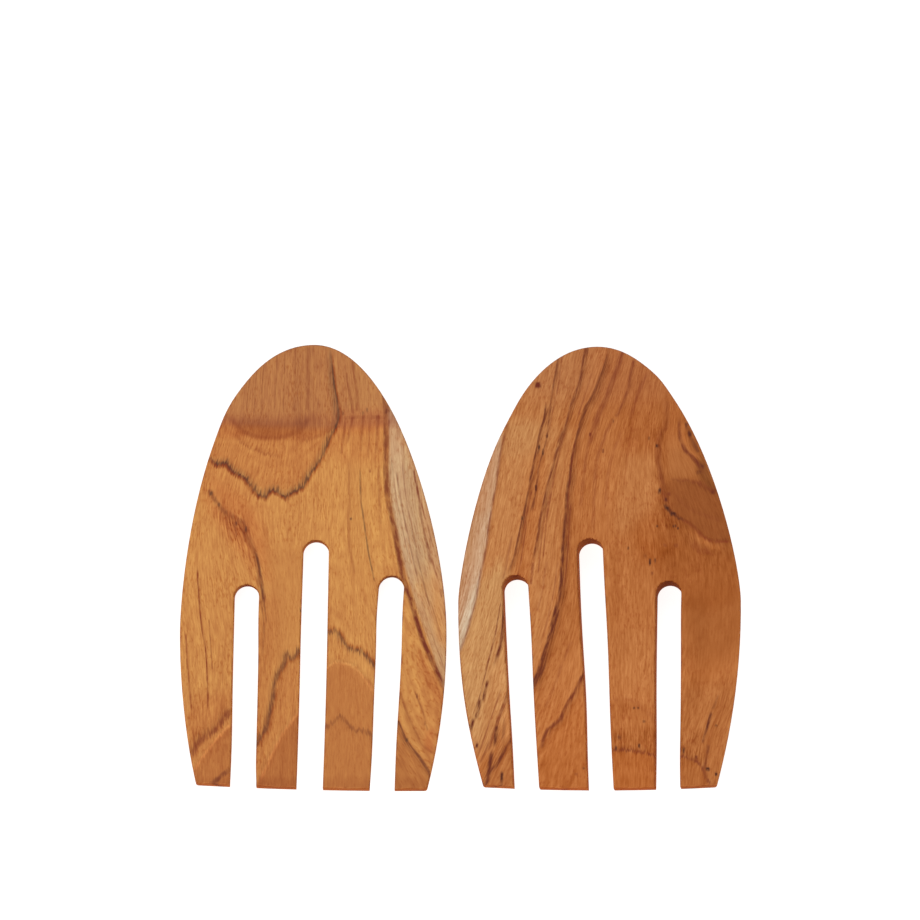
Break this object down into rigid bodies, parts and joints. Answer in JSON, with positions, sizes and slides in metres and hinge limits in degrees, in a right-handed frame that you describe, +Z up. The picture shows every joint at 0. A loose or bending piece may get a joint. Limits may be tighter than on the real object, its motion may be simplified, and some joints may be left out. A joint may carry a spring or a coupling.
{
  "type": "salad hands",
  "caption": "Matched wooden salad hands: gently curved, slotted boards with blunt tines that toss and lift salad between them, lying palm up and palm down.",
  "frame": {"origin": "on the table, under the middle of the box that holds both hands as they lie side by side", "axes": "+X from the left hand to the right hand, +Y from the tine tips to the grip ends, +Z up from the table"},
  "size_m": [0.2352, 0.1926, 0.017],
  "materials": {
    "left_teak": "sanded and oiled, satin",
    "right_teak": "sanded and oiled, satin"
  },
  "bodies": {
    "left_hand": {"left_hand": "left_teak"},
    "right_hand": {"right_hand": "right_teak"}
  },
  "joints": [
    {"name": "right_hand_lift", "type": "slide", "parent": "left_hand", "child": "right_hand", "axis": [0, 0, 1], "range_m": [0, 0.15]}
  ]
}
